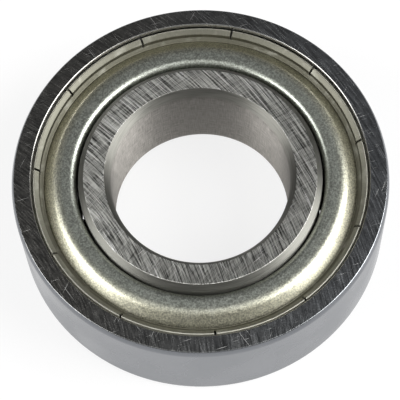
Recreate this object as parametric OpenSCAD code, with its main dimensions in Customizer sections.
// Shielded single-row deep-groove ball bearing, dimension series 10.
// Millimetres. The axis is Z and the origin is the middle of the bearing.
// The two side faces are at plus and minus half the width.

/* [Bearing] */
// Bore diameter, the shaft's size
bore_d = 20; // [19:0.25:20.5]
// Outside diameter, the housing's size
outer_d = 42; // [42:0.25:43]
// Width across the side faces
width = 12; // [11.8:0.1:13]

/* [Balls] */
// Diameter of one ball
ball_d = 6.35; // [6:0.05:6.4]
// Number of balls
ball_count = 9; // [6:1:9]
// Raceway radius as a share of the ball's diameter
raceway_ratio = 0.52; // [0.515:0.005:0.53]
// Free radial gap between a ball and each raceway
ball_play = 0.015; // [0.01:0.005:0.04]
// How far the shoulders stand up the ball, as a share of its radius
shoulder_ratio = 0.6; // [0.58:0.01:0.62]

/* [Rings] */
// Radius of the outer ring's corners, which the ground face cuts short
corner_r = 1.5; // [0.8:0.1:2]
// How far the rounding of the bore's mouth reaches across the side face
mouth_reach = 0.7; // [0.4:0.1:0.9]
// Chamfer on the inner ring's outer edge
edge_chamfer = 0.62; // [0.2:0.02:0.7]
// Width of the outer ring's side face, corner and all
side_face_w = 2.16; // [2:0.02:2.3]

/* [Shields] */
// Thickness of the shield's steel sheet
sheet_t = 0.3; // [0.2:0.05:0.3]
// Number of slits round the shield's rim
slit_count = 11; // [5:1:16]
// Width of one slit
slit_w = 0.28; // [0.15:0.01:0.5]
// Gap between the shield's lip and the inner ring
lip_gap = 0.27; // [0.15:0.01:0.4]

/* [Cage] */
// Thickness of the cage's steel strip
strip_t = 0.65; // [0.4:0.05:0.7]
// Radial width of the strip
strip_w = 2.8; // [2.4:0.1:3]
// Free gap between a ball and its pocket
pocket_play = 0.13; // [0.08:0.01:0.2]
// Diameter of a rivet's shank
rivet_d = 1; // [0.8:0.1:1.2]
// Diameter of a rivet's head
head_d = 1.9; // [1.6:0.1:2]
// Height of a rivet's head
head_h = 0.45; // [0.3:0.05:0.5]

/* [Hidden] */
$fn = 96;
half_w = width / 2;
pitch_r = (bore_d + outer_d) / 4;
ball_r = ball_d / 2;
raceway_r = raceway_ratio * ball_d;
inner_shoulder_r = pitch_r - shoulder_ratio * ball_r;
outer_shoulder_r = pitch_r + shoulder_ratio * ball_r;

// Both roundings end at the side face with an edge, at these angles
corner_turn = 36;
mouth_turn = 44;
mouth_round = mouth_reach / (1 - cos(mouth_turn));

// The recess that holds each shield in the outer ring
recess_r = outer_d / 2 - side_face_w;
recess_bevel = 0.12;
groove_r = recess_r + 0.36;
groove_top = half_w - 0.6;
groove_flank = 0.35;
seat_z = half_w - 2;

// Stations of the shield's outer surface, from its lip out to its rim
lip_r = inner_shoulder_r + lip_gap;
lip_round = 0.8;
lip_drop = 0.12;
band_z = half_w - 0.48;
slope_start_r = recess_r - 3.32;
slope_round = 1.59;
slope_angle = 40;
valley_round = 0.1;
valley_r = recess_r - 1.3;
valley_z = half_w - 1.66;
ledge_angle = 40;
step_foot = [recess_r - 0.89, half_w - 1.34];
step_top = [recess_r - 0.85, half_w - 0.82];
crest = [recess_r - 0.42, half_w - 0.74];
crest_round = 0.32;
hem_r = recess_r + 0.22;
hem_z = half_w - 1.3;
slit_start_r = recess_r - 0.93;
first_slit = 10.4;

// Cage
pocket_r = ball_r + pocket_play;
strip_in_r = pitch_r - strip_w / 2;
strip_out_r = pitch_r + strip_w / 2;
rivet_hole_play = 0.01;
step_angle = 360 / ball_count;

// Points along an arc about a centre
function arc(centre, r, from, to, n) = [
    for (i = [0:n])
        let (a = from + (to - from) * i / n)
        [centre[0] + r * cos(a), centre[1] + r * sin(a)]
];

// The same points seen from the other side face
function turned_over(pts) = [for (i = [len(pts) - 1:-1:0]) [pts[i][0], -pts[i][1]]];

function unit(v) = v / norm(v);

// Unit normal to the right of the step from a to b
function right_of(a, b) = unit([b[1] - a[1], a[0] - b[0]]);

// Point i of a path moved sideways by t, mitred at the corners
function moved(p, i, t) =
    let (
        last = len(p) - 1,
        n1 = right_of(p[max(i - 1, 0)], p[max(i, 1)]),
        n2 = right_of(p[min(i, last - 1)], p[min(i + 1, last)]),
        m = unit(n1 + n2)
    )
    p[i] + m * t / (m * n1);

// Closed outline of a sheet that lies to the right of a path
function sheet_outline(p, t) = concat(
    p,
    [for (i = [len(p) - 1:-1:0]) moved(p, i, t)]
);

module revolve(pts) {
    rotate_extrude() polygon(pts);
}

// ---- Rings ----

// Half of the outer ring's section, from the corner in to the shoulder
outer_side = concat(
    arc([outer_d / 2 - corner_r, half_w - corner_r * sin(corner_turn)], corner_r, 0, corner_turn, 6),
    [
        [recess_r + recess_bevel, half_w],
        [recess_r, half_w - recess_bevel],
        [recess_r, groove_top],
        [groove_r, groove_top - groove_flank],
        [groove_r, seat_z],
        [outer_shoulder_r, seat_z]
    ]
);

module outer_ring() {
    color("lightgray")
    rotate_extrude()
    difference() {
        polygon(concat(outer_side, turned_over(outer_side)));
        translate([pitch_r + ball_r + ball_play - raceway_r, 0]) circle(r = raceway_r);
    }
}

// Half of the inner ring's section, from the bore out to the shoulder
inner_side = concat(
    arc(
        [bore_d / 2 + mouth_round, half_w - mouth_round * sin(mouth_turn)], mouth_round,
        180, 180 - mouth_turn, 6
    ),
    [
        [inner_shoulder_r - edge_chamfer, half_w],
        [inner_shoulder_r, half_w - edge_chamfer]
    ]
);

module inner_ring() {
    color("gainsboro")
    rotate_extrude()
    difference() {
        polygon(concat(inner_side, turned_over(inner_side)));
        translate([pitch_r - ball_r - ball_play + raceway_r, 0]) circle(r = raceway_r);
    }
}

// ---- Shields ----

// Outer surface of the pressed shield, from the lip to the edge in the groove
shield_path = concat(
    [[lip_r, band_z - lip_round - lip_drop]],
    arc([lip_r + lip_round, band_z - lip_round], lip_round, 180, 90, 6),
    arc([slope_start_r, band_z - slope_round], slope_round, 90, 90 - slope_angle, 8),
    arc(
        [valley_r, valley_z + valley_round], valley_round,
        270 - slope_angle, 270 + ledge_angle, 6
    ),
    [step_foot, step_top],
    arc(crest, crest_round, 147, 0, 8),
    [[crest[0] + crest_round, crest[1] - 0.18], [hem_r, hem_z], [hem_r, seat_z]]
);

module shield() {
    difference() {
        revolve(sheet_outline(shield_path, sheet_t));
        for (i = [0:slit_count - 1])
            rotate([0, 0, first_slit + i * 360 / slit_count])
            translate([slit_start_r, -slit_w / 2, seat_z - 1])
            cube([groove_r, slit_w, half_w - seat_z + 2]);
    }
}

module shield_front() {
    color("darkkhaki") shield();
}

module shield_back() {
    color("darkkhaki") rotate([180, 0, 0]) shield();
}

// ---- Cage ----

module at_balls() {
    for (i = [1:ball_count])
        rotate([0, 0, i * step_angle]) translate([pitch_r, 0, 0]) children();
}

// One pressed strip: flat webs that meet at the middle, and a cup over each ball
module cage_half() {
    difference() {
        intersection() {
            difference() {
                cylinder(h = half_w, r = strip_out_r);
                translate([0, 0, -1]) cylinder(h = half_w + 2, r = strip_in_r);
            }
            union() {
                cylinder(h = strip_t, r = strip_out_r + 1);
                at_balls() sphere(r = pocket_r + strip_t);
            }
        }
        at_balls() sphere(r = pocket_r);
        rotate([0, 0, step_angle / 2])
        at_balls()
        translate([0, 0, -1])
        cylinder(h = strip_t + 2, r = rivet_d / 2 + rivet_hole_play);
    }
}

module cage_half_front() {
    color("silver") cage_half();
}

module cage_half_back() {
    color("silver") mirror([0, 0, 1]) cage_half();
}

// Domed head that stands on a web
module rivet_head() {
    dome_r = (pow(head_d / 2, 2) + pow(head_h, 2)) / (2 * head_h);
    translate([0, 0, strip_t])
    intersection() {
        translate([0, 0, head_h - dome_r]) sphere(r = dome_r);
        cylinder(h = head_h * 2, r = head_d);
    }
}

module cage_rivet(i) {
    color("dimgray")
    rotate([0, 0, (i + 0.5) * step_angle])
    translate([pitch_r, 0, 0]) {
        translate([0, 0, -strip_t]) cylinder(h = 2 * strip_t, r = rivet_d / 2);
        rivet_head();
        mirror([0, 0, 1]) rivet_head();
    }
}

// ---- Balls ----

module ball(i) {
    color("white")
    rotate([0, 0, i * step_angle])
    translate([pitch_r, 0, 0])
    sphere(r = ball_r);
}

// ---- Assembly ----

outer_ring();
inner_ring();
shield_front();
shield_back();
cage_half_front();
cage_half_back();
for (i = [1:ball_count]) {
    cage_rivet(i);
    ball(i);
}
